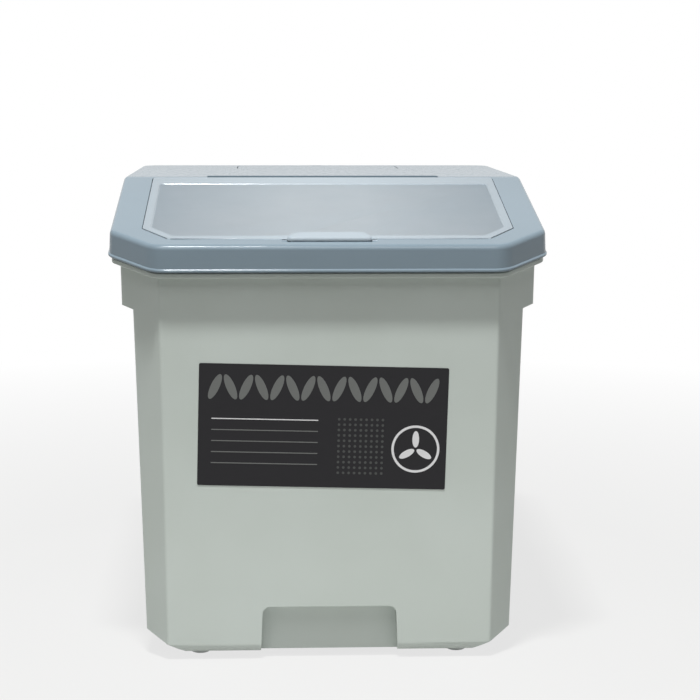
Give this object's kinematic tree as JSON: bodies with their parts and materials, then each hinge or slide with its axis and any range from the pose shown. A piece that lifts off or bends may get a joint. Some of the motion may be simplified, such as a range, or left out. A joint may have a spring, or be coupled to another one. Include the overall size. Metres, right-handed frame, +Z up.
{
  "type": "rice bin with flip lid",
  "caption": "Tall drafted plastic grain bin with cut front corners, a lift-off lid with a sloping front half and a hinged see-through flap with a finger grip.",
  "frame": {"origin": "on the floor, under the middle of the bin's bounding box", "axes": "+Z up, -Y towards the front with the flap's finger grip, X across the bin"},
  "size_m": [0.275, 0.36, 0.2975],
  "materials": {
    "tub": "satin moulded polypropylene, pale sage grey",
    "lid": "glossy moulded polypropylene, blue grey",
    "window": "frosted see-through plastic with a faint lavender tint",
    "seal": "matt milky silicone",
    "label": "dark printed film with grey blocks"
  },
  "bodies": {
    "tub": {"bucket": "tub", "label": "label"},
    "lid": {"lid_frame": "lid", "lid_seal": "seal", "repellent_box": "lid"},
    "flap": {"flap": "window", "flap_seal": "seal"},
    "cover": {"repellent_cover": "lid"}
  },
  "joints": [
    {"name": "lid_lift", "type": "slide", "parent": "tub", "child": "lid", "axis": [0, 0, 1], "range_m": [0, 0.25]},
    {"name": "flap_hinge", "type": "hinge", "parent": "lid", "child": "flap", "pos_m": [0, -0.0146, 0.2933], "axis": [-1, 0, 0], "range_deg": [0, 115]},
    {"name": "cover_lift", "type": "slide", "parent": "lid", "child": "cover", "axis": [0, 0, 1], "range_m": [0, 0.08]}
  ]
}
